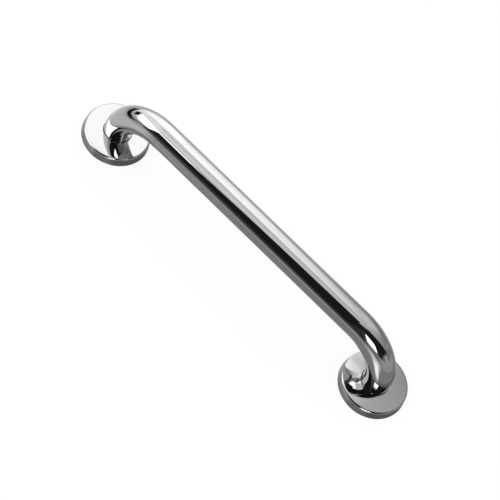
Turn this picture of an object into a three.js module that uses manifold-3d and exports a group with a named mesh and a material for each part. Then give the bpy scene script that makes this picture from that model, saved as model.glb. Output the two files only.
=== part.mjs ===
// A grab rail: a bent stainless tube on two screwed-down flanges, each hidden by a loose round cover.
// Millimetres, +Z up. The mounting surface is the plane z = 0, the rail runs along X, and the origin
// lies on that surface half-way between the two flanges.
import * as THREE from "three";
import { mergeVertices } from "three/addons/utils/BufferGeometryUtils.js";
import Module from "manifold-3d";

// Driving dimensions
const CENTRES = 406; // leg to leg, 16 inches
const TUBE_DIAMETER = 33;
const TUBE_WALL = 1.5;
const BEND_RADIUS = 54; // of the tube's centreline
const GRIP_HEIGHT = 70; // from the mounting surface to the grip's centreline
const COVER_DIAMETER = 80;
const COVER_HEIGHT = 12.5; // at the hole
const COVER_CROWN = 1.5; // how far the face rises from its rounded edge to the hole
const COVER_DRAFT = 1.2; // how far the side leans in on its way up
const COVER_EDGE_RADIUS = 2.5;
const COVER_WALL = 1;
const COVER_CLEARANCE = 0.5; // between the tube and the cover's hole
const PLATE_DIAMETER = 75;
const PLATE_THICKNESS = 3;
const GASKET_DIAMETER = 74;
const GASKET_THICKNESS = 1.5;
const VENT_DIAMETER = 20;
const WELD_LEG = 3;
const WELD_GAP = 0.1; // clear of the facets of the tube
const SCREW_COUNT = 3; // in each flange
const SCREW_CIRCLE_DIAMETER = 54;
const SCREW_HOLE_DIAMETER = 6;
const SCREW_DIAMETER = 5;
const SCREW_LENGTH = 32; // under the head
const SCREW_POINT = 6;
const SCREW_HEAD_DIAMETER = 9.5;
const SCREW_HEAD_HEIGHT = 3.2;
const SCREW_HEAD_ROUNDING = 2;
const RECESS_WIDTH = 1.1; // of one arm of the cross recess
const RECESS_SPAN = 5;
const RECESS_DEPTH = 1.8;

// Facets
const TUBE_SIDES = 36;
const BEND_STEPS = 12;
const DISC_SIDES = 56;
const SCREW_SIDES = 20;
const ARC_POINTS = 4;
const CROWN_POINTS = 4;
const HEAD_POINTS = 3;

const TUBE_RADIUS = TUBE_DIAMETER / 2;
const PLATE_TOP = GASKET_THICKNESS + PLATE_THICKNESS;
const QUARTER_TURN = Math.PI / 2;
const HALF_TURN = Math.PI;
const FULL_TURN = 2 * Math.PI;
const SAME_POINT = 1e-4; // corners closer than this are one
const STEP_SLACK = 1e-9; // rounding error allowed when steps are counted
const OVERSHOOT = 1; // how far a drill goes past the face it leaves through

const wasm = await Module();
wasm.setup();

const polished = () =>
  new THREE.MeshStandardMaterial({ color: 0xd2d3d4, roughness: 0.06, metalness: 1 });
const milled = () =>
  new THREE.MeshStandardMaterial({ color: 0xa9aaab, roughness: 0.4, metalness: 1 });
const welded = () =>
  new THREE.MeshStandardMaterial({ color: 0x8f8a84, roughness: 0.5, metalness: 1 });
const screwSteel = () =>
  new THREE.MeshStandardMaterial({ color: 0xb8b9ba, roughness: 0.28, metalness: 1 });
const rubber = () =>
  new THREE.MeshStandardMaterial({ color: 0x1c1c1d, roughness: 0.85, metalness: 0 });

const rail = new THREE.Group();

function addMesh(name, geometry, material, parent) {
  const mesh = new THREE.Mesh(geometry, material);
  mesh.name = name;
  parent.add(mesh);
  return mesh;
}

// Booleans: a geometry as a solid, and back again.
function toSolid(geometry) {
  const bare = geometry.clone();
  bare.deleteAttribute("normal");
  bare.deleteAttribute("uv");
  const merged = mergeVertices(bare, SAME_POINT);
  return new wasm.Manifold(
    new wasm.Mesh({
      numProp: 3,
      vertProperties: merged.attributes.position.array,
      triVerts: new Uint32Array(merged.index.array),
    }),
  );
}

function toGeometry(solid) {
  const mesh = solid.getMesh();
  const geometry = new THREE.BufferGeometry();
  geometry.setAttribute("position", new THREE.BufferAttribute(mesh.vertProperties, 3));
  geometry.setIndex(new THREE.BufferAttribute(mesh.triVerts, 1));
  geometry.computeVertexNormals();
  return geometry;
}

// A solid of revolution about Z, from points [radius, height]. A point list that doesn't start and end
// on the axis is closed on itself, which leaves a hole through the middle.
function turned(points, sides) {
  const profile = points.map(([radius, height]) => new THREE.Vector2(radius, height));
  const onAxis = points[0][0] === 0 && points.at(-1)[0] === 0;
  if (!onAxis) profile.push(profile[0].clone());
  return new THREE.LatheGeometry(profile, sides).rotateX(QUARTER_TURN);
}

// Points on an arc in the radius-height plane, both ends included.
function arc(centreRadius, centreHeight, radius, from, to, count = ARC_POINTS) {
  return Array.from({ length: count + 1 }, (_, i) => {
    const angle = from + ((to - from) * i) / count;
    return [centreRadius + radius * Math.cos(angle), centreHeight + radius * Math.sin(angle)];
  });
}

// The rail's centreline: up one leg, round a bend, along the grip, round a bend and down the other leg.
// It is evenly stepped within each stretch, so that steps fall on the ends of the bends.
class RailLine extends THREE.Curve {
  constructor() {
    super();
    const half = CENTRES / 2;
    const bendBase = GRIP_HEIGHT - BEND_RADIUS;
    const bendEnd = half - BEND_RADIUS;
    const straight = (a, b) => (t) => new THREE.Vector3().lerpVectors(a, b, t);
    const bend = (side, from, to) => (t) => {
      const angle = QUARTER_TURN * (from + (to - from) * t);
      return new THREE.Vector3(
        side * (bendEnd + BEND_RADIUS * Math.cos(angle)),
        0,
        bendBase + BEND_RADIUS * Math.sin(angle),
      );
    };
    const at = (x, z) => new THREE.Vector3(x, 0, z);
    this.stretches = [
      { steps: 1, point: straight(at(-half, PLATE_TOP), at(-half, bendBase)) },
      { steps: BEND_STEPS, point: bend(-1, 0, 1) },
      { steps: 2, point: straight(at(-bendEnd, GRIP_HEIGHT), at(bendEnd, GRIP_HEIGHT)) },
      { steps: BEND_STEPS, point: bend(1, 1, 0) },
      { steps: 1, point: straight(at(half, bendBase), at(half, PLATE_TOP)) },
    ];
    this.steps = this.stretches.reduce((sum, stretch) => sum + stretch.steps, 0);
  }

  getPoint(t) {
    let step = t * this.steps;
    for (const stretch of this.stretches) {
      if (step <= stretch.steps + STEP_SLACK) return stretch.point(step / stretch.steps);
      step -= stretch.steps;
    }
    return this.stretches.at(-1).point(1);
  }

  // Steps are counted, not measured along the line.
  getUtoTmapping(u) {
    return u;
  }
}

// An outline's full circle gets two sides for each curve segment.
function sidesToSegments(sides) {
  return sides / 2;
}

function circlePath(radius, x = 0, y = 0) {
  return new THREE.Path().absarc(x, y, radius, 0, FULL_TURN, false);
}

function railTube() {
  const section = new THREE.Shape().absarc(0, 0, TUBE_RADIUS, 0, FULL_TURN, false);
  section.holes.push(circlePath(TUBE_RADIUS - TUBE_WALL));
  const line = new RailLine();
  return new THREE.ExtrudeGeometry(section, {
    steps: line.steps,
    curveSegments: sidesToSegments(TUBE_SIDES),
    extrudePath: line,
  });
}

// Screw places seen from above, for a flange whose outer side faces along outward, 1 or -1 in X:
// one hole faces outwards, clear of the grip overhead, and the others are evenly spaced round.
function screwPlaces(outward) {
  const start = outward > 0 ? 0 : HALF_TURN;
  return Array.from({ length: SCREW_COUNT }, (_, i) => {
    const angle = start + (FULL_TURN * i) / SCREW_COUNT;
    const radius = SCREW_CIRCLE_DIAMETER / 2;
    return new THREE.Vector2(radius * Math.cos(angle), radius * Math.sin(angle));
  });
}

// A flat disc with a vent hole and screw holes, standing on z = 0.
function drilledDisc(diameter, thickness, places) {
  const outline = new THREE.Shape().absarc(0, 0, diameter / 2, 0, FULL_TURN, false);
  const blank = new THREE.ExtrudeGeometry(outline, {
    depth: thickness,
    bevelEnabled: false,
    curveSegments: sidesToSegments(DISC_SIDES),
  });
  const holes = [{ radius: VENT_DIAMETER / 2, x: 0, y: 0 }];
  for (const place of places) {
    holes.push({ radius: SCREW_HOLE_DIAMETER / 2, x: place.x, y: place.y });
  }
  let solid = toSolid(blank);
  for (const { radius, x, y } of holes) {
    const length = thickness + 2 * OVERSHOOT;
    const drill = new THREE.CylinderGeometry(radius, radius, length, SCREW_SIDES);
    drill.rotateX(QUARTER_TURN).translate(x, y, thickness / 2);
    solid = solid.subtract(toSolid(drill));
  }
  return toGeometry(solid);
}

// A fillet of weld round the foot of the tube, slightly domed, standing on z = 0.
function flangeWeld() {
  const inner = TUBE_RADIUS + WELD_GAP;
  const dome = arc(inner, 0, WELD_LEG, 0, QUARTER_TURN);
  return turned([[inner, 0], ...dome], TUBE_SIDES);
}

// One side of the cover's wall, from its foot up to the rim of its hole. inset is how deep under the
// outer skin it lies, measured inwards from the side and down from the face. The face is crowned: it
// rises from its rounded edge to the hole, ever more gently.
function coverSkin(inset) {
  const top = COVER_HEIGHT - inset;
  const faceStart = top - COVER_CROWN;
  const footRadius = COVER_DIAMETER / 2 - inset;
  const edgeRadius = COVER_EDGE_RADIUS - inset;
  const edgeCentre = footRadius - COVER_DRAFT - edgeRadius;
  const holeRadius = TUBE_RADIUS + COVER_CLEARANCE;
  const face = Array.from({ length: CROWN_POINTS }, (_, i) => {
    const radius = edgeCentre + ((holeRadius - edgeCentre) * (i + 1)) / CROWN_POINTS;
    const rise = (edgeCentre ** 2 - radius ** 2) / (edgeCentre ** 2 - holeRadius ** 2);
    return [radius, faceStart + COVER_CROWN * rise];
  });
  return [
    [footRadius, 0],
    ...arc(edgeCentre, faceStart - edgeRadius, edgeRadius, 0, QUARTER_TURN),
    ...face,
  ];
}

function cover() {
  return turned([...coverSkin(0), ...coverSkin(COVER_WALL).reverse()], DISC_SIDES);
}

// A pan head screw with a cross recess, its head resting on z = 0 and its point downwards.
function screw() {
  const shank = SCREW_DIAMETER / 2;
  const head = SCREW_HEAD_DIAMETER / 2;
  const round = SCREW_HEAD_ROUNDING;
  const body = turned(
    [
      [0, -SCREW_LENGTH],
      [shank, SCREW_POINT - SCREW_LENGTH],
      [shank, 0],
      [head, 0],
      ...arc(head - round, SCREW_HEAD_HEIGHT - round, round, 0, QUARTER_TURN, HEAD_POINTS),
      [0, SCREW_HEAD_HEIGHT],
    ],
    SCREW_SIDES,
  );
  let solid = toSolid(body);
  for (const turn of [0, QUARTER_TURN]) {
    const arm = new THREE.BoxGeometry(RECESS_SPAN, RECESS_WIDTH, 2 * RECESS_DEPTH);
    arm.rotateZ(turn).translate(0, 0, SCREW_HEAD_HEIGHT);
    solid = solid.subtract(toSolid(arm));
  }
  return toGeometry(solid);
}

addMesh("rail_tube", railTube(), polished(), rail);

for (const [side, outward] of [
  ["left", -1],
  ["right", 1],
]) {
  const flange = new THREE.Group();
  flange.position.x = (outward * CENTRES) / 2;
  rail.add(flange);
  const places = screwPlaces(outward);

  const gasket = drilledDisc(GASKET_DIAMETER, GASKET_THICKNESS, places);
  addMesh(`${side}_flange_gasket`, gasket, rubber(), flange);

  const plate = drilledDisc(PLATE_DIAMETER, PLATE_THICKNESS, places);
  addMesh(`${side}_flange_plate`, plate, milled(), flange).position.z = GASKET_THICKNESS;

  addMesh(`${side}_flange_weld`, flangeWeld(), welded(), flange).position.z = PLATE_TOP;

  places.forEach((place, i) => {
    const mesh = addMesh(`${side}_screw_${i + 1}`, screw(), screwSteel(), flange);
    mesh.position.set(place.x, place.y, PLATE_TOP);
  });

  addMesh(`${side}_cover`, cover(), polished(), flange);
}

export default rail;
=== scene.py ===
import math
from collections import namedtuple

import bmesh
import bpy
from mathutils import Matrix, Vector
from mathutils.geometry import tessellate_polygon


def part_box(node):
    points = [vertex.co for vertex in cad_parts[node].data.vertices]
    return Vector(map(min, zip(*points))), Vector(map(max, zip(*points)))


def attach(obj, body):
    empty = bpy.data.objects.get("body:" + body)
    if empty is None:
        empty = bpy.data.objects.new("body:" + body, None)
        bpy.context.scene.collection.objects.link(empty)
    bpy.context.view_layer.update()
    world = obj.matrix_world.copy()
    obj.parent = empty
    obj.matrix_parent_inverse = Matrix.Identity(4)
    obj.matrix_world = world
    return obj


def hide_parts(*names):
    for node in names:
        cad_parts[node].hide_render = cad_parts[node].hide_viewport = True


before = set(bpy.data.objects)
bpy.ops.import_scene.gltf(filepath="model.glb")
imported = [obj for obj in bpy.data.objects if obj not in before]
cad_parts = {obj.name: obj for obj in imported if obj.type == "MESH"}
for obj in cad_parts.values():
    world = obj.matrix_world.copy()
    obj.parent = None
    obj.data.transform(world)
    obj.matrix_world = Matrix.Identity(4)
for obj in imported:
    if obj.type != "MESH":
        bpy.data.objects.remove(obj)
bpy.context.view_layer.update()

MM = 0.001
FULL_TURN = 2 * math.pi
QUARTER_TURN = math.pi / 2

# Sizes that the frame's boxes give
TUBE_LOW, TUBE_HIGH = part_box("rail_tube")
TUBE_RADIUS = (TUBE_HIGH.y - TUBE_LOW.y) / 2
TUBE_FOOT = TUBE_LOW.z
GRIP_HEIGHT = TUBE_HIGH.z - TUBE_RADIUS
LEG_X = TUBE_HIGH.x - TUBE_RADIUS

# Sizes that a box doesn't show
TUBE_WALL = 1.5 * MM
TUBE_END_BREAK = 0.3 * MM
BEND_RADIUS = 54 * MM
COVER_WALL = 1 * MM
COVER_CLEARANCE = 0.5 * MM
COVER_DRAFT = 1.2 * MM
COVER_EDGE_RADIUS = 2.5 * MM
COVER_CROWN = 1.5 * MM
COVER_LIP_RADIUS = 0.2 * MM
PLATE_EDGE = 0.3 * MM
GASKET_EDGE = 0.25 * MM
VENT_RADIUS = 10 * MM
WELD_LEG = 3 * MM
WELD_GAP = 0.1 * MM
SCREW_COUNT = 3
SCREW_CIRCLE_RADIUS = 27 * MM
SCREW_HOLE_RADIUS = 3 * MM

# A screw's sizes, with heights counted up from the underside of its head
SCREW_ROOT_RADIUS = 1.75 * MM
SCREW_CREST_RADIUS = 2.5 * MM
SCREW_HEAD_RADIUS = 4.75 * MM
SCREW_HEAD_HEIGHT = 3.2 * MM
SCREW_PITCH = 2 * MM
SCREW_POINT = 6 * MM
SCREW_TIP_RADIUS = 0.02 * MM
SCREW_NECK_RELIEF = 0.1 * MM
SCREW_NECK_START = -1.7 * MM
THREAD_TOP = -2 * MM
HEAD_SEAT_EDGE = 0.25 * MM
RECESS_REACH = 2.5 * MM
RECESS_WIDTH = 1.1 * MM
RECESS_DEPTH = 1.8 * MM

# How far each screw is left turned, in radians: more from one to the next, and more on the left
SCREW_TURN_STEP = 0.7
LEFT_SCREW_TURN = 0.4

# Smoothness
TUBE_SIDES = 144
BEND_STEPS = 72
COVER_SIDES = 192
ARC_STEPS = 14
LIP_STEPS = 5
FACE_STEPS = 16
DISC_SIDES = 120
HOLE_SIDES = 40
SCREW_SIDES = 32
RINGS_PER_TURN = 12
WELD_RIPPLES = 64
WELD_STEPS_PER_RIPPLE = 8
WELD_FACE_STEPS = 10

# Edges sharper than this many degrees stay sharp
TURNED_SHARP_ANGLE = 35
DISC_SHARP_ANGLE = 30
SCREW_SHARP_ANGLE = 45

# The camera, as the photograph was taken
CAMERA_AZIMUTH = 16.4
CAMERA_ELEVATION = 56.3
CAMERA_ROLL = 30.4
CAMERA_DISTANCE = 1.8
CAMERA_AIM = Vector((0.007, -0.0125, 0.045))
CAMERA_LENS = 118.4

# How much light the polished steel sends back
TUBE_REFLECTANCE = 0.62
COVER_REFLECTANCE = 0.59

# How dense the buffing lines are along x, y and z
TUBE_LINES = (14, 1700, 1700)
COVER_LINES = (900, 900, 60)


# ---------------------------------------------------------------- mesh making

def add_object(name, mesh, sharp_angle):
    """Shades a closed mesh smooth, but for edges sharper than sharp_angle degrees, and shows it."""
    work = bmesh.new()
    work.from_mesh(mesh)
    bmesh.ops.recalc_face_normals(work, faces=work.faces)
    work.to_mesh(mesh)
    work.free()
    for face in mesh.polygons:
        face.use_smooth = True
    mesh.set_sharp_from_angle(angle=math.radians(sharp_angle))
    obj = bpy.data.objects.new(name, mesh)
    bpy.context.scene.collection.objects.link(obj)
    return obj


def grid_faces(rows, columns, row_loop):
    """Quads over a grid of points whose every row is closed on itself."""
    faces = []
    for row in range(rows if row_loop else rows - 1):
        above = (row + 1) % rows
        for column in range(columns):
            beside = (column + 1) % columns
            faces.append((row * columns + column, row * columns + beside,
                          above * columns + beside, above * columns + column))
    return faces


def skin(name, rings, row_loop=True, sharp_angle=TURNED_SHARP_ANGLE):
    """A closed mesh over rings of points: the last ring joins the first, or both ends get a cap."""
    columns = len(rings[0])
    points = [point for ring in rings for point in ring]
    faces = grid_faces(len(rings), columns, row_loop)
    if not row_loop:
        for ring, first in ((rings[0], 0), (rings[-1], len(points) - columns)):
            hub = len(points)
            points.append(sum(ring, Vector()) / columns)
            for column in range(columns):
                faces.append((hub, first + column, first + (column + 1) % columns))
    mesh = bpy.data.meshes.new(name)
    mesh.from_pydata(points, [], faces)
    return add_object(name, mesh, sharp_angle)


def circle(x, y, z, radius, sides):
    """Points round a level circle."""
    turns = (FULL_TURN * i / sides for i in range(sides))
    return [Vector((x + radius * math.cos(a), y + radius * math.sin(a), z)) for a in turns]


def arc(radius_centre, height_centre, radius, start, end, steps=ARC_STEPS):
    """Points (radius, height) on an arc of a turned outline, both ends included."""
    points = []
    for i in range(steps + 1):
        angle = start + (end - start) * i / steps
        points.append((radius_centre + radius * math.cos(angle),
                       height_centre + radius * math.sin(angle)))
    return points


def turned(name, x, outline, sides):
    """A closed outline of (radius, height) points, turned about the vertical line at x."""
    return skin(name, [circle(x, 0, height, radius, sides) for radius, height in outline])


# ---------------------------------------------------------------- the rail tube

def rail_line():
    """Places along the tube's centreline as (point, direction), denser where it bends. Short steps
    next to each bend keep the straight stretches' shading straight."""
    half_grip = LEG_X - BEND_RADIUS
    bend_base = GRIP_HEIGHT - BEND_RADIUS
    support = 0.2 * MM
    line = []
    for height in (TUBE_FOOT, TUBE_FOOT + TUBE_END_BREAK, bend_base - support):
        line.append((Vector((-LEG_X, 0, height)), Vector((0, 0, 1))))
    for i in range(BEND_STEPS + 1):
        angle = QUARTER_TURN * i / BEND_STEPS
        point = Vector((-half_grip - BEND_RADIUS * math.cos(angle), 0,
                        bend_base + BEND_RADIUS * math.sin(angle)))
        line.append((point, Vector((math.sin(angle), 0, math.cos(angle)))))
    line.append((Vector((-half_grip + support, 0, GRIP_HEIGHT)), Vector((1, 0, 0))))
    other_half = []
    for point, direction in reversed(line):
        mirrored = Vector((-point.x, 0, point.z))
        other_half.append((mirrored, Vector((direction.x, 0, -direction.z))))
    return line + other_half


def tube_ring(point, direction, radius):
    """Points round the tube at one place on its line, which stays in the plane y = 0."""
    side = Vector((0, 1, 0))
    up = side.cross(direction)
    turns = (FULL_TURN * i / TUBE_SIDES for i in range(TUBE_SIDES))
    return [point + radius * (math.cos(a) * side + math.sin(a) * up) for a in turns]


def make_tube():
    """The hollow bent tube, with the edges of its two ends broken."""
    line = rail_line()
    last = len(line) - 1
    outside = []
    inside = []
    for i, (point, direction) in enumerate(line):
        broken = TUBE_END_BREAK if i in (0, last) else 0
        outside.append(tube_ring(point, direction, TUBE_RADIUS - broken))
        inside.append(tube_ring(point, direction, TUBE_RADIUS - TUBE_WALL + broken))
    return skin("rail_tube_polished", outside + inside[::-1])


# ---------------------------------------------------------------- covers

def cover_skin(radius, top, inset):
    """One side of a cover's wall, from its foot to the rim of its hole, inset under the outer skin.
    The face rises from its edge to the hole on a slight crown."""
    hole = TUBE_RADIUS + COVER_CLEARANCE + COVER_LIP_RADIUS
    foot = radius - inset
    edge = COVER_EDGE_RADIUS - inset
    centre = foot - COVER_DRAFT - edge
    slope = 2 * COVER_CROWN * centre / (centre ** 2 - hole ** 2)
    face_edge_height = top - COVER_CROWN - inset
    side = arc(centre, face_edge_height - edge, edge, 0, QUARTER_TURN - math.atan(slope))
    face_start, face_height = side[-1]
    skin_points = [(foot, 0), *side]
    for i in range(1, FACE_STEPS + 1):
        reach = face_start + (hole - face_start) * i / FACE_STEPS
        rise = (face_start ** 2 - reach ** 2) / (face_start ** 2 - hole ** 2)
        skin_points.append((reach, face_height + (top - inset - face_height) * rise))
    return skin_points


def make_cover(side):
    """A drawn shell: a leaning side, a rounded edge, a crowned face and a lipped hole."""
    low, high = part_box(f"{side}_cover")
    x = (low.x + high.x) / 2
    radius = (high.x - low.x) / 2
    top = high.z
    lip = COVER_LIP_RADIUS
    lip_centre = TUBE_RADIUS + COVER_CLEARANCE + lip
    outline = [
        *cover_skin(radius, top, 0),
        *arc(lip_centre, top - lip, lip, QUARTER_TURN, math.pi, LIP_STEPS)[1:],
        *arc(lip_centre, top - COVER_WALL + lip, lip, math.pi, 3 * QUARTER_TURN, LIP_STEPS)[:-1],
        *reversed(cover_skin(radius, top, COVER_WALL)),
    ]
    return turned(f"{side}_cover_polished", x, outline, COVER_SIDES)


# ---------------------------------------------------------------- flange plates and gaskets

def screw_places(side):
    """Where a flange's screws go, seen from above: the first faces outwards, away from the grip."""
    outward = -1 if side == "left" else 1
    places = []
    for i in range(SCREW_COUNT):
        angle = FULL_TURN * i / SCREW_COUNT
        places.append((outward * (LEG_X + SCREW_CIRCLE_RADIUS * math.cos(angle)),
                       outward * SCREW_CIRCLE_RADIUS * math.sin(angle)))
    return places


def drilled_disc(name, node, side, edge):
    """A flat disc that fills a CAD node's box, with its vent, its screw holes and broken edges."""
    low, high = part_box(node)
    x = (low.x + high.x) / 2
    loops = [(x, 0, (high.x - low.x) / 2, 1, DISC_SIDES), (x, 0, VENT_RADIUS, -1, DISC_SIDES)]
    for place_x, place_y in screw_places(side):
        loops.append((place_x, place_y, SCREW_HOLE_RADIUS, -1, HOLE_SIDES))
    points = []
    faces = []
    caps = {low.z: [], high.z: []}
    cap_index = {low.z: [], high.z: []}
    for centre_x, centre_y, radius, outward, sides in loops:
        first = len(points)
        wall = (
            (low.z, radius - outward * edge),
            (low.z + edge, radius),
            (high.z - edge, radius),
            (high.z, radius - outward * edge),
        )
        for height, ring_radius in wall:
            ring = circle(centre_x, centre_y, height, ring_radius, sides)
            if height in caps:
                caps[height].append(ring)
                cap_index[height].extend(range(len(points), len(points) + sides))
            points.extend(ring)
        for face in grid_faces(len(wall), sides, False):
            faces.append(tuple(first + corner for corner in face))
    for height, rings in caps.items():
        for corners in tessellate_polygon(rings):
            faces.append(tuple(cap_index[height][corner] for corner in corners))
    mesh = bpy.data.meshes.new(name)
    mesh.from_pydata(points, [], faces)
    return add_object(name, mesh, DISC_SHARP_ANGLE)


# ---------------------------------------------------------------- welds

def make_weld(side):
    """A fillet weld round the tube's foot, laid as overlapping ripples."""
    node = f"{side}_flange_weld"
    low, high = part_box(node)
    x = (low.x + high.x) / 2
    inner = TUBE_RADIUS + WELD_GAP
    ripple_depth = 0.1
    swirl = 0.45
    steps = WELD_RIPPLES * WELD_STEPS_PER_RIPPLE
    sections = []
    for i in range(steps):
        turn = i / steps
        direction = Vector((math.cos(FULL_TURN * turn), math.sin(FULL_TURN * turn), 0))
        section = [Vector((x, 0, low.z)) + inner * direction]
        for j in range(WELD_FACE_STEPS + 1):
            along = j / WELD_FACE_STEPS
            phase = (WELD_RIPPLES * turn + swirl * math.sin(math.pi * along)) % 1
            scale = math.sqrt(1 - (2 * phase - 1) ** 2) if 0 < phase < 1 else 0
            reach = WELD_LEG * (1 - ripple_depth + ripple_depth * scale)
            angle = QUARTER_TURN * along
            section.append(Vector((x, 0, low.z))
                           + (inner + reach * math.cos(angle)) * direction
                           + Vector((0, 0, reach * math.sin(angle))))
        sections.append(section)
    return skin(f"{side}_weld_bead", sections)


# ---------------------------------------------------------------- screws

def thread_levels():
    """(height, taper) up the thread from the screw's point, the head resting on height 0."""
    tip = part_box("left_screw_1")[0].z - TUBE_FOOT
    count = int((THREAD_TOP - tip) / (SCREW_PITCH / RINGS_PER_TURN))
    levels = []
    for i in range(count + 1):
        height = tip + (THREAD_TOP - tip) * i / count
        levels.append((height, min(1, (height - tip) / SCREW_POINT)))
    return levels


def screw_rings():
    """Rings of points up the screw: a tapered point, the thread, the neck and the domed head. Each
    flank of the thread takes a share of its pitch."""
    rings = []
    thread_depth = SCREW_CREST_RADIUS - SCREW_ROOT_RADIUS
    flank_share = 0.32
    for height, taper in thread_levels():
        ring = []
        for i in range(SCREW_SIDES):
            turn = i / SCREW_SIDES
            phase = (height / SCREW_PITCH - turn) % 1
            ridge = max(0, 1 - abs(phase - 0.5) / flank_share)
            radius = taper * (SCREW_ROOT_RADIUS + thread_depth * ridge) + SCREW_TIP_RADIUS
            ring.append(Vector((radius * math.cos(FULL_TURN * turn),
                                radius * math.sin(FULL_TURN * turn), height)))
        rings.append(ring)
    neck = SCREW_CREST_RADIUS - SCREW_NECK_RELIEF
    dome_start = 0.42 * SCREW_HEAD_HEIGHT
    dome_height = SCREW_HEAD_HEIGHT - dome_start
    dome_fullness = 0.6
    profile = [(neck, SCREW_NECK_START), (neck, 0), (SCREW_HEAD_RADIUS - HEAD_SEAT_EDGE, 0),
               (SCREW_HEAD_RADIUS, HEAD_SEAT_EDGE)]
    for i in range(ARC_STEPS):
        angle = QUARTER_TURN * i / ARC_STEPS
        profile.append((SCREW_HEAD_RADIUS * math.cos(angle) ** dome_fullness,
                        dome_start + dome_height * math.sin(angle)))
    for radius, height in profile:
        rings.append(circle(0, 0, height, radius, SCREW_SIDES))
    return rings


def recess_cutter():
    """A tapered cross, wide at the top, that cuts the driver recess out of a screw's head. Its arms
    narrow half as fast as they shorten."""
    above = 0.2 * MM
    scale_at_foot = 0.5
    scale_above = 1.05
    levels = ((SCREW_HEAD_HEIGHT - RECESS_DEPTH, scale_at_foot),
              (SCREW_HEAD_HEIGHT + above, scale_above))
    rings = []
    for height, scale in levels:
        reach = RECESS_REACH * scale
        narrowing = 0.5 + 0.5 * scale
        half = RECESS_WIDTH / 2 * narrowing
        quarter = [Vector((reach, -half, 0)), Vector((reach, half, 0)), Vector((half, half, 0))]
        ring = []
        for turn in range(4):
            spin = Matrix.Rotation(QUARTER_TURN * turn, 3, "Z")
            ring.extend(spin @ corner + Vector((0, 0, height)) for corner in quarter)
        rings.append(ring)
    return skin("recess_cutter", rings, row_loop=False)


def make_screw_mesh():
    """One screw's finished mesh, its head resting on the origin."""
    blank = skin("screw_blank", screw_rings(), row_loop=False, sharp_angle=SCREW_SHARP_ANGLE)
    cutter = recess_cutter()
    cut = blank.modifiers.new("recess", "BOOLEAN")
    cut.object = cutter
    cut.operation = "DIFFERENCE"
    cut.solver = "EXACT"
    evaluated = blank.evaluated_get(bpy.context.evaluated_depsgraph_get())
    mesh = bpy.data.meshes.new_from_object(evaluated)
    mesh.set_sharp_from_angle(angle=math.radians(SCREW_SHARP_ANGLE))
    for scrap in (blank, cutter):
        bpy.data.objects.remove(scrap)
    return mesh


# ---------------------------------------------------------------- materials

class Nodes:
    """A small helper that adds nodes to one node tree."""

    def __init__(self, tree):
        self.tree = tree
        tree.nodes.clear()

    def add(self, kind, **settings):
        node = self.tree.nodes.new(kind)
        for name, value in settings.items():
            setattr(node, name, value)
        return node

    def link(self, source, target):
        """Feeds a socket from another socket or a plain number."""
        if isinstance(source, bpy.types.NodeSocket):
            self.tree.links.new(source, target)
        else:
            target.default_value = source

    def math(self, operation, *values):
        node = self.add("ShaderNodeMath", operation=operation)
        for socket, value in zip(node.inputs, values):
            self.link(value, socket)
        return node.outputs[0]

    def step(self, value, low, high, out_low=0.0, out_high=1.0):
        """A smooth rise from out_low at low to out_high at high."""
        node = self.add("ShaderNodeMapRange", interpolation_type="SMOOTHSTEP")
        for socket, number in zip(node.inputs, (value, low, high, out_low, out_high)):
            self.link(number, socket)
        return node.outputs[0]

    def blend(self, factor, first, second):
        """first where factor is 0, second where it is 1; plain numbers."""
        node = self.add("ShaderNodeMix", data_type="FLOAT")
        for socket, number in zip(node.inputs[:1] + node.inputs[2:4], (factor, first, second)):
            self.link(number, socket)
        return node.outputs[0]

    def noise(self, vector, scale, detail):
        node = self.add("ShaderNodeTexNoise")
        self.link(vector, node.inputs["Vector"])
        node.inputs["Scale"].default_value = scale
        node.inputs["Detail"].default_value = detail
        return node.outputs["Fac"]

    def ramp(self, factor, stops):
        """A colour ramp through (place, (red, green, blue)) stops."""
        node = self.add("ShaderNodeValToRGB")
        elements = node.color_ramp.elements
        while len(elements) < len(stops):
            elements.new(0.5)
        for element, (place, colour) in zip(elements, stops):
            element.position = place
            element.color = (*colour, 1)
        self.link(factor, node.inputs["Fac"])
        return node.outputs["Color"]

    def bump(self, height, strength, distance, normal=None):
        node = self.add("ShaderNodeBump")
        self.link(height, node.inputs["Height"])
        node.inputs["Strength"].default_value = strength
        node.inputs["Distance"].default_value = distance
        if normal is not None:
            self.link(normal, node.inputs["Normal"])
        return node.outputs["Normal"]

    def stretch(self, vector, scale):
        node = self.add("ShaderNodeVectorMath", operation="MULTIPLY")
        self.link(vector, node.inputs[0])
        node.inputs[1].default_value = scale
        return node.outputs[0]


def new_material(name, metallic):
    """A material with one Principled shader: returns it, its node helper and its shader."""
    material = bpy.data.materials.new(name)
    material.use_nodes = True
    nodes = Nodes(material.node_tree)
    shader = nodes.add("ShaderNodeBsdfPrincipled")
    shader.inputs["Metallic"].default_value = metallic
    output = nodes.add("ShaderNodeOutputMaterial")
    nodes.link(shader.outputs["BSDF"], output.inputs["Surface"])
    return material, nodes, shader


def object_place(nodes):
    return nodes.add("ShaderNodeTexCoord").outputs["Object"]


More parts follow.
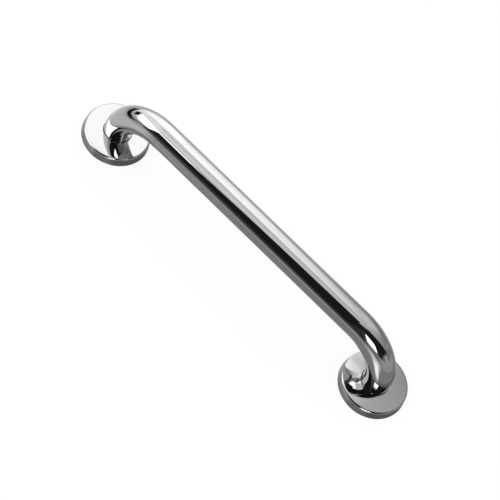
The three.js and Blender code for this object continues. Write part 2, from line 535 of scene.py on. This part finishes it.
def polished_steel(name, grey, line_density):
    """Mirror-polished stainless steel with a hand-buffed surface: faint haze, hairlines and waves."""
    material, nodes, shader = new_material(name, metallic=1)
    place = object_place(nodes)
    haze = nodes.noise(place, scale=38, detail=4)
    tint = nodes.ramp(haze, ((0.3, (grey * 0.975, grey * 0.98, grey * 0.985)),
                             (0.7, (grey * 1.02, grey * 1.02, grey * 1.015))))
    nodes.link(tint, shader.inputs["Base Color"])
    hairlines = nodes.noise(nodes.stretch(place, line_density), scale=1, detail=2)
    haze_roughness = nodes.step(haze, 0.3, 0.75, out_low=0.02, out_high=0.045)
    line_roughness = nodes.step(hairlines, 0.6, 0.8, out_low=0.0, out_high=0.02)
    nodes.link(nodes.math("ADD", haze_roughness, line_roughness), shader.inputs["Roughness"])
    waves = nodes.bump(nodes.noise(place, scale=22, detail=1), strength=0.06, distance=1 * MM)
    lines = nodes.bump(hairlines, strength=0.01, distance=0.05 * MM, normal=waves)
    nodes.link(lines, shader.inputs["Normal"])
    return material


def plate_steel():
    """Sheet steel with a rolled grain, for the flange plates."""
    material, nodes, shader = new_material("plate_steel", metallic=1)
    place = object_place(nodes)
    grain = nodes.noise(nodes.stretch(place, (60, 2600, 60)), scale=1, detail=3)
    stain = nodes.noise(place, scale=90, detail=4)
    tint = nodes.ramp(stain, ((0.3, (0.40, 0.40, 0.40)), (0.7, (0.50, 0.50, 0.49))))
    nodes.link(tint, shader.inputs["Base Color"])
    roughness = nodes.step(grain, 0.3, 0.7, out_low=0.30, out_high=0.44)
    nodes.link(roughness, shader.inputs["Roughness"])
    nodes.link(nodes.bump(grain, strength=0.25, distance=0.05 * MM), shader.inputs["Normal"])
    return material


def weld_steel():
    """Weld metal with the straw and blue tints that its heat leaves."""
    material, nodes, shader = new_material("weld_steel", metallic=1)
    place = object_place(nodes)
    heat = nodes.noise(place, scale=160, detail=3)
    tint = nodes.ramp(heat, ((0.30, (0.43, 0.41, 0.40)), (0.45, (0.52, 0.44, 0.32)),
                             (0.56, (0.36, 0.30, 0.33)), (0.70, (0.33, 0.36, 0.43))))
    nodes.link(tint, shader.inputs["Base Color"])
    spatter = nodes.noise(place, scale=900, detail=3)
    roughness = nodes.step(spatter, 0.3, 0.7, out_low=0.28, out_high=0.5)
    nodes.link(roughness, shader.inputs["Roughness"])
    nodes.link(nodes.bump(spatter, strength=0.3, distance=0.1 * MM), shader.inputs["Normal"])
    return material


def screw_steel():
    """Bright machine-finished steel with fine turning marks."""
    material, nodes, shader = new_material("screw_steel", metallic=1)
    place = object_place(nodes)
    marks = nodes.noise(nodes.stretch(place, (150, 150, 9000)), scale=1, detail=2)
    wear = nodes.noise(place, scale=400, detail=3)
    tint = nodes.ramp(wear, ((0.3, (0.50, 0.50, 0.51)), (0.7, (0.60, 0.60, 0.60))))
    nodes.link(tint, shader.inputs["Base Color"])
    roughness = nodes.step(marks, 0.3, 0.7, out_low=0.2, out_high=0.34)
    nodes.link(roughness, shader.inputs["Roughness"])
    nodes.link(nodes.bump(marks, strength=0.15, distance=0.03 * MM), shader.inputs["Normal"])
    return material


def gasket_rubber():
    """Black moulded rubber with a fine grain and a dusting of grey."""
    material, nodes, shader = new_material("gasket_rubber", metallic=0)
    place = object_place(nodes)
    grain = nodes.noise(place, scale=2200, detail=4)
    dust = nodes.noise(place, scale=120, detail=4)
    tint = nodes.ramp(dust, ((0.35, (0.012, 0.012, 0.012)), (0.75, (0.035, 0.034, 0.033))))
    nodes.link(tint, shader.inputs["Base Color"])
    roughness = nodes.step(dust, 0.3, 0.7, out_low=0.72, out_high=0.9)
    nodes.link(roughness, shader.inputs["Roughness"])
    nodes.link(nodes.bump(grain, strength=0.35, distance=0.1 * MM), shader.inputs["Normal"])
    return material


# ---------------------------------------------------------------- the studio

# A soft-edged patch of light or shade, far off. In degrees: where its middle is, half its width and
# height, and how softly its sides and its upper and lower edges end. Then how bright the steel shows
# it, how much it rises per degree of azimuth, and how much it hides of what is behind it.
Card = namedtuple("Card", "azimuth elevation half_width half_height side_soft edge_soft brightness "
                  "lean opacity", defaults=(0, 1))

LOW_ARC = Card(6, -3, 42, 10, 16, 5, 0.53, lean=-0.15)

# What the polished steel sees above the table, each card laid over those before it
UPPER_CARDS = {
    "room": Card(-175, 40, 60, 35, 30, 24, 0.85),
    "horizon_glow": Card(-150, 8, 40, 8, 30, 5, 0.59, opacity=0.9),
    "horizon_line": Card(-172, 1, 30, 5, 20, 4, 0.05),
    "horizon_rise": Card(-137, 5.5, 19, 2.4, 8, 3, 0.14, lean=0.25),
    "dark_band": Card(177, 18.5, 12, 6, 6, 4, 0.08),
    "dark_low": Card(161, 1, 14, 6, 8, 6, 0.1),
    "black_card": Card(-48, 43, 34, 28, 28, 12, 0.09),
    "black_foot": Card(-27, 15, 8, 7, 8, 6, 0.1),
    "black_side": Card(-96, 21, 22, 21, 10, 8, 0.16),
    "window": Card(-55, 30, 14, 12, 5, 8, 1.3),
    "low_arc": LOW_ARC,
    "spark": Card(4, 15, 7, 8, 8, 8, 0.62, opacity=0.9),
    "glint": Card(49, 11, 5, 4, 6, 5, 0.6, opacity=0.9),
}

# What it sees of the table and the floor
LOWER_CARDS = {
    "floor_left": Card(-152, -28, 43, 22, 16, 20, 0.667),
    "floor_back": Card(128, -44, 40, 24, 50, 40, 0.785),
    "floor_dark": Card(10, -50, 58, 12, 30, 14, 0.267),
    "glow": Card(-58, -6, 16, 14, 16, 16, 0.725),
    "streak": Card(-60, -26, 9, 13, 8, 10, 0.925),
    "table_edge": Card(-85, -16, 25, 1.6, 16, 1.5, 0.65),
    "low_arc": LOW_ARC,
}

# Behind the cards the walls brighten from the horizon up, and the floor darkens away from the side
# that is lit. Spans are in degrees.
WALL_SPAN = (5, 90)
WALL_BRIGHTNESS = (0.42, 0.67)
LIT_SIDE_AZIMUTH = 135
FLOOR_SPAN = (30, 85)
FLOOR_BRIGHTNESS = (0.55, 0.447)
HORIZON_SPAN = (-5, -2)

# A sheet so close to the rail that its two ends see it in different directions: its corners in metres,
# from the lower left one on, how far its left, right, lower and upper edges fade in, as parts of the
# sheet, and how bright the steel shows it
Panel = namedtuple("Panel", "corners fades brightness")


def sheet(left, right, y, low, high):
    """The corners of an upright sheet at one y, given the spans of its x and its height."""
    return ((left, y, low), (right, y, low), (right, y, high), (left, y, high))


PANELS = {
    "back_softbox": Panel(sheet(-2.2, 0.35, 0.95, -0.3, 5.0), (0.43, 0.37, 0.23, 0.51), 0.995),
    "bend_fill": Panel(sheet(0.12, 0.205, 0.025, 0.085, 0.24), (0.35, 0.35, 0.15, 0.4), 0.715),
    "back_lift": Panel(sheet(-0.5, 0.08, 0.93, 0.1, 1.4), (0.8, 0.8, 0.3, 0.23), 0.995),
    "right_face_veil": Panel(sheet(0.06, 0.22, 0.05, 0.02, 0.105), (1, 1, 0.1, 0.3), 0.2),
    "left_face_lift": Panel(sheet(-0.23, -0.145, 0.1, 0.11, 0.23), (0.35, 0.2, 0.15, 0.3), 1.0),
    "left_softbox": Panel(((-0.95, -0.43, 0.31), (-0.95, -2.6, 0.8), (-0.95, -2.6, 3.19),
                           (-0.95, 0.12, 0.43)), (0.01, 0.01, 0.01, 0.01), 1.3),
    "black_flag": Panel(((-0.38, -0.32, 0.09), (-0.205, -0.387, 0.08), (-0.205, -0.387, 0.51),
                         (-0.275, -0.35, 0.5)), (0.01, 0.001, 0.01, 0.2), 0.09),
    "black_screen": Panel(((-0.205, -0.387, 0.08), (0.1, -0.55, 0.05), (0.1, -0.55, 2.5),
                           (-0.205, -0.387, 0.51)), (0.001, 0.001, 0.01, 0.25), 0.09),
    "black_wing": Panel(((0.1, -0.55, 0.45), (0.35, -0.62, 0.7), (0.35, -0.62, 1.5),
                         (0.1, -0.55, 1.5)), (0.001, 0.1, 0.01, 0.15), 0.09),
    "black_roof": Panel(((0.185, -0.13, 0.185), (0.6, -0.13, 0.185), (0.6, 0.18, 0.185),
                         (0.19, -0.024, 0.185)), (0.05, 0.4, 0.1, 0.1), 0.09),
    "dark_skirt": Panel(((-0.38, -0.31, 0.09), (0.14, -0.532, 0.05), (0.14, -0.532, 0.23),
                         (-0.38, -0.31, 0.27)), (0.01, 0.05, 0.01, 0.9), 0.23),
}

# The table's shade round each cover's foot, as the covers' sides show it. It fades outwards over its
# whole reach.
SHADE_REACH = 14 * MM
SHADE_HEIGHT = 0.1 * MM
SHADE_FADES = (0.1, 0.1, 0.01, 1)
SHADE_BRIGHTNESS = 0.33
SHADE_OPACITY = 0.7

# The pale floor that the camera sees
FLOOR_REACH = 6
FLOOR_COLOUR = (0.9, 0.9, 0.9, 1)
FLOOR_GLOW = 1.03
FLOOR_GLOW_SHARE = 0.85


def light_for(seen):
    """The light that polished steel shows at an sRGB brightness of seen, where 1 is white."""
    linear = seen / 12.92 if seen <= 0.04045 else ((seen + 0.055) / 1.055) ** 2.4
    return linear / TUBE_REFLECTANCE


def from_azimuth(nodes, azimuth, middle):
    """How many degrees of azimuth each direction is past a middle, or short of it if negative."""
    return nodes.math("WRAP", nodes.math("SUBTRACT", azimuth, middle), 180, -180)


def inside(nodes, distance, half, soft):
    """1 within half of a middle and 0 beyond it, over a soft edge."""
    return nodes.step(nodes.math("ABSOLUTE", distance), half - soft / 2, half + soft / 2, 1.0, 0.0)


def patch(nodes, azimuth, elevation, card):
    """How much a card covers each direction, before its opacity."""
    across = from_azimuth(nodes, azimuth, card.azimuth)
    above = nodes.math("SUBTRACT", elevation, card.elevation)
    if card.lean:
        above = nodes.math("SUBTRACT", above, nodes.math("MULTIPLY", across, card.lean))
    return nodes.math("MULTIPLY", inside(nodes, across, card.half_width, card.side_soft),
                      inside(nodes, above, card.half_height, card.edge_soft))


def layered(nodes, azimuth, elevation, base, cards):
    """The cards laid over a base brightness, in their order."""
    light = base
    for card in cards.values():
        cover = nodes.math("MULTIPLY", patch(nodes, azimuth, elevation, card), card.opacity)
        light = nodes.blend(cover, light, light_for(card.brightness))
    return light


def make_world():
    """A white room to the camera and to dull surfaces, and a studio of cards to the steel."""
    world = bpy.data.worlds.new("studio")
    bpy.context.scene.world = world
    world.use_nodes = True
    world.cycles.sampling_method = "NONE"
    nodes = Nodes(world.node_tree)
    direction = nodes.add("ShaderNodeTexCoord").outputs["Generated"]
    parts = nodes.add("ShaderNodeSeparateXYZ")
    nodes.link(direction, parts.inputs[0])
    x, y, z = parts.outputs
    degrees = math.degrees(1)
    azimuth = nodes.math("MULTIPLY", nodes.math("ARCTAN2", y, x), degrees)
    elevation = nodes.math("MULTIPLY", nodes.math("ARCSINE", z), degrees)

    foot, top = WALL_BRIGHTNESS
    wall = nodes.step(elevation, *WALL_SPAN, light_for(foot), light_for(top))
    upper = layered(nodes, azimuth, elevation, wall, UPPER_CARDS)

    lit, unlit = FLOOR_BRIGHTNESS
    from_lit_side = nodes.math("ABSOLUTE", from_azimuth(nodes, azimuth, LIT_SIDE_AZIMUTH))
    floor = nodes.step(from_lit_side, *FLOOR_SPAN, light_for(lit), light_for(unlit))
    lower = layered(nodes, azimuth, elevation, floor, LOWER_CARDS)

    studio = nodes.blend(nodes.step(elevation, *HORIZON_SPAN), lower, upper)
    seen_by_steel = nodes.add("ShaderNodeLightPath").outputs["Is Glossy Ray"]
    light = nodes.blend(seen_by_steel, 1.0, studio)
    background = nodes.add("ShaderNodeBackground")
    nodes.link(light, background.inputs["Color"])
    output = nodes.add("ShaderNodeOutputWorld")
    nodes.link(background.outputs[0], output.inputs["Surface"])


def glow_material(name, other_kind, strength):
    """A material that mixes a glow with one other shader. Returns it, its node helper, the other
    shader and the socket for the glow's share."""
    material = bpy.data.materials.new(name)
    material.use_nodes = True
    nodes = Nodes(material.node_tree)
    other = nodes.add(other_kind)
    glow = nodes.add("ShaderNodeEmission")
    glow.inputs["Strength"].default_value = strength
    mix = nodes.add("ShaderNodeMixShader")
    nodes.link(other.outputs[0], mix.inputs[1])
    nodes.link(glow.outputs[0], mix.inputs[2])
    output = nodes.add("ShaderNodeOutputMaterial")
    nodes.link(mix.outputs[0], output.inputs["Surface"])
    material.cycles.emission_sampling = "NONE"
    return material, nodes, other, mix.inputs["Fac"]


def panel_glow(name, fades, strength, opacity):
    """A panel's light, fading out towards its left, right, lower and upper edges."""
    material, nodes, _, share = glow_material(name, "ShaderNodeBsdfTransparent", strength)
    parts = nodes.add("ShaderNodeSeparateXYZ")
    nodes.link(nodes.add("ShaderNodeTexCoord").outputs["UV"], parts.inputs[0])
    across, along, _ = parts.outputs
    left, right, lower, upper = fades
    cover = nodes.math("MULTIPLY", nodes.step(across, 0, left),
                       nodes.step(across, 1 - right, 1, 1.0, 0.0))
    cover = nodes.math("MULTIPLY", cover, nodes.step(along, 0, lower))
    cover = nodes.math("MULTIPLY", cover, nodes.step(along, 1 - upper, 1, 1.0, 0.0))
    nodes.link(nodes.math("MULTIPLY", cover, opacity), share)
    return material


def add_panel(name, points, faces, places, fades, brightness, opacity=1.0):
    """A glowing sheet that only the steel's reflections show; places are its points' UVs."""
    mesh = bpy.data.meshes.new(name)
    mesh.from_pydata(points, [], faces)
    layer = mesh.uv_layers.new(name="panel")
    for loop, corner in zip(mesh.loops, layer.data):
        corner.uv = places[loop.vertex_index]
    panel = bpy.data.objects.new(name, mesh)
    bpy.context.scene.collection.objects.link(panel)
    mesh.materials.append(panel_glow(name, fades, light_for(brightness), opacity))
    panel.visible_camera = False
    panel.visible_diffuse = False
    panel.visible_transmission = False
    panel.visible_shadow = False


def make_panels():
    """The panels near the rail, and the table's shade round its covers."""
    places = ((0, 0), (1, 0), (1, 1), (0, 1))
    for name, panel in PANELS.items():
        add_panel(name, panel.corners, [(0, 1, 2, 3)], places, panel.fades, panel.brightness)
    low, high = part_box("right_cover")
    radius = (high.x - low.x) / 2
    for name, x in (("left_shade", -LEG_X), ("right_shade", LEG_X)):
        inner = circle(x, 0, SHADE_HEIGHT, radius, DISC_SIDES)
        outer = circle(x, 0, SHADE_HEIGHT, radius + SHADE_REACH, DISC_SIDES)
        places = [(0.5, 0)] * DISC_SIDES + [(0.5, 1)] * DISC_SIDES
        add_panel(name, inner + outer, grid_faces(2, DISC_SIDES, False), places, SHADE_FADES,
                  SHADE_BRIGHTNESS, SHADE_OPACITY)


def make_floor():
    """A pale floor, lit mostly from within so that it stays as white as the room."""
    reach = FLOOR_REACH
    mesh = bpy.data.meshes.new("floor")
    corners = [(-reach, -reach, 0), (reach, -reach, 0), (reach, reach, 0), (-reach, reach, 0)]
    mesh.from_pydata(corners, [], [(0, 1, 2, 3)])
    floor = bpy.data.objects.new("floor", mesh)
    bpy.context.scene.collection.objects.link(floor)
    material, nodes, diffuse, share = glow_material("pale_floor", "ShaderNodeBsdfDiffuse", FLOOR_GLOW)
    diffuse.inputs["Color"].default_value = FLOOR_COLOUR
    nodes.link(FLOOR_GLOW_SHARE, share)
    mesh.materials.append(material)
    floor.visible_glossy = False


def make_camera():
    """The camera, at the photograph's viewing angle and with its roll."""
    azimuth = math.radians(CAMERA_AZIMUTH)
    elevation = math.radians(CAMERA_ELEVATION)
    back = Vector((math.sin(azimuth) * math.cos(elevation),
                   -math.cos(azimuth) * math.cos(elevation), math.sin(elevation)))
    level = Vector((0, 0, 1)).cross(back).normalized()
    upright = back.cross(level)
    facing = Matrix((level, upright, back)).transposed()
    roll = Matrix.Rotation(math.radians(CAMERA_ROLL), 3, "Z")
    camera = bpy.data.objects.new("camera", bpy.data.cameras.new("camera"))
    camera.data.lens = CAMERA_LENS
    camera.matrix_world = (facing @ roll).to_4x4()
    camera.location = CAMERA_AIM + CAMERA_DISTANCE * back
    bpy.context.scene.collection.objects.link(camera)
    bpy.context.scene.camera = camera


# ---------------------------------------------------------------- putting it together

def install(piece, material, body, node):
    """Gives a piece its finish and lets it stand for a CAD node on that node's body."""
    piece.data.materials.clear()
    piece.data.materials.append(material)
    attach(piece, body)
    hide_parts(node)


make_camera()
make_world()
make_panels()
make_floor()
bpy.context.scene.view_settings.view_transform = "Standard"

TUBE_STEEL = polished_steel("polished_tube_steel", TUBE_REFLECTANCE, TUBE_LINES)
COVER_STEEL = polished_steel("polished_cover_steel", COVER_REFLECTANCE, COVER_LINES)
PLATE_STEEL = plate_steel()
WELD_STEEL = weld_steel()
SCREW_STEEL = screw_steel()
GASKET_RUBBER = gasket_rubber()

install(make_tube(), TUBE_STEEL, "rail", "rail_tube")
screw_mesh = make_screw_mesh()
for side in ("left", "right"):
    install(make_cover(side), COVER_STEEL, f"{side}_cover", f"{side}_cover")
    plate = drilled_disc(f"{side}_plate_drilled", f"{side}_flange_plate", side, PLATE_EDGE)
    install(plate, PLATE_STEEL, "rail", f"{side}_flange_plate")
    gasket = drilled_disc(f"{side}_gasket_pad", f"{side}_flange_gasket", side, GASKET_EDGE)
    install(gasket, GASKET_RUBBER, "rail", f"{side}_flange_gasket")
    install(make_weld(side), WELD_STEEL, "rail", f"{side}_flange_weld")
    first_turn = LEFT_SCREW_TURN if side == "left" else 0
    for i, (screw_x, screw_y) in enumerate(screw_places(side)):
        mesh = screw_mesh.copy()
        spin = Matrix.Rotation(first_turn + SCREW_TURN_STEP * i, 4, "Z")
        mesh.transform(Matrix.Translation((screw_x, screw_y, TUBE_FOOT)) @ spin)
        screw = bpy.data.objects.new(f"{side}_screw_{i + 1}_threaded", mesh)
        bpy.context.scene.collection.objects.link(screw)
        install(screw, SCREW_STEEL, "rail", f"{side}_screw_{i + 1}")
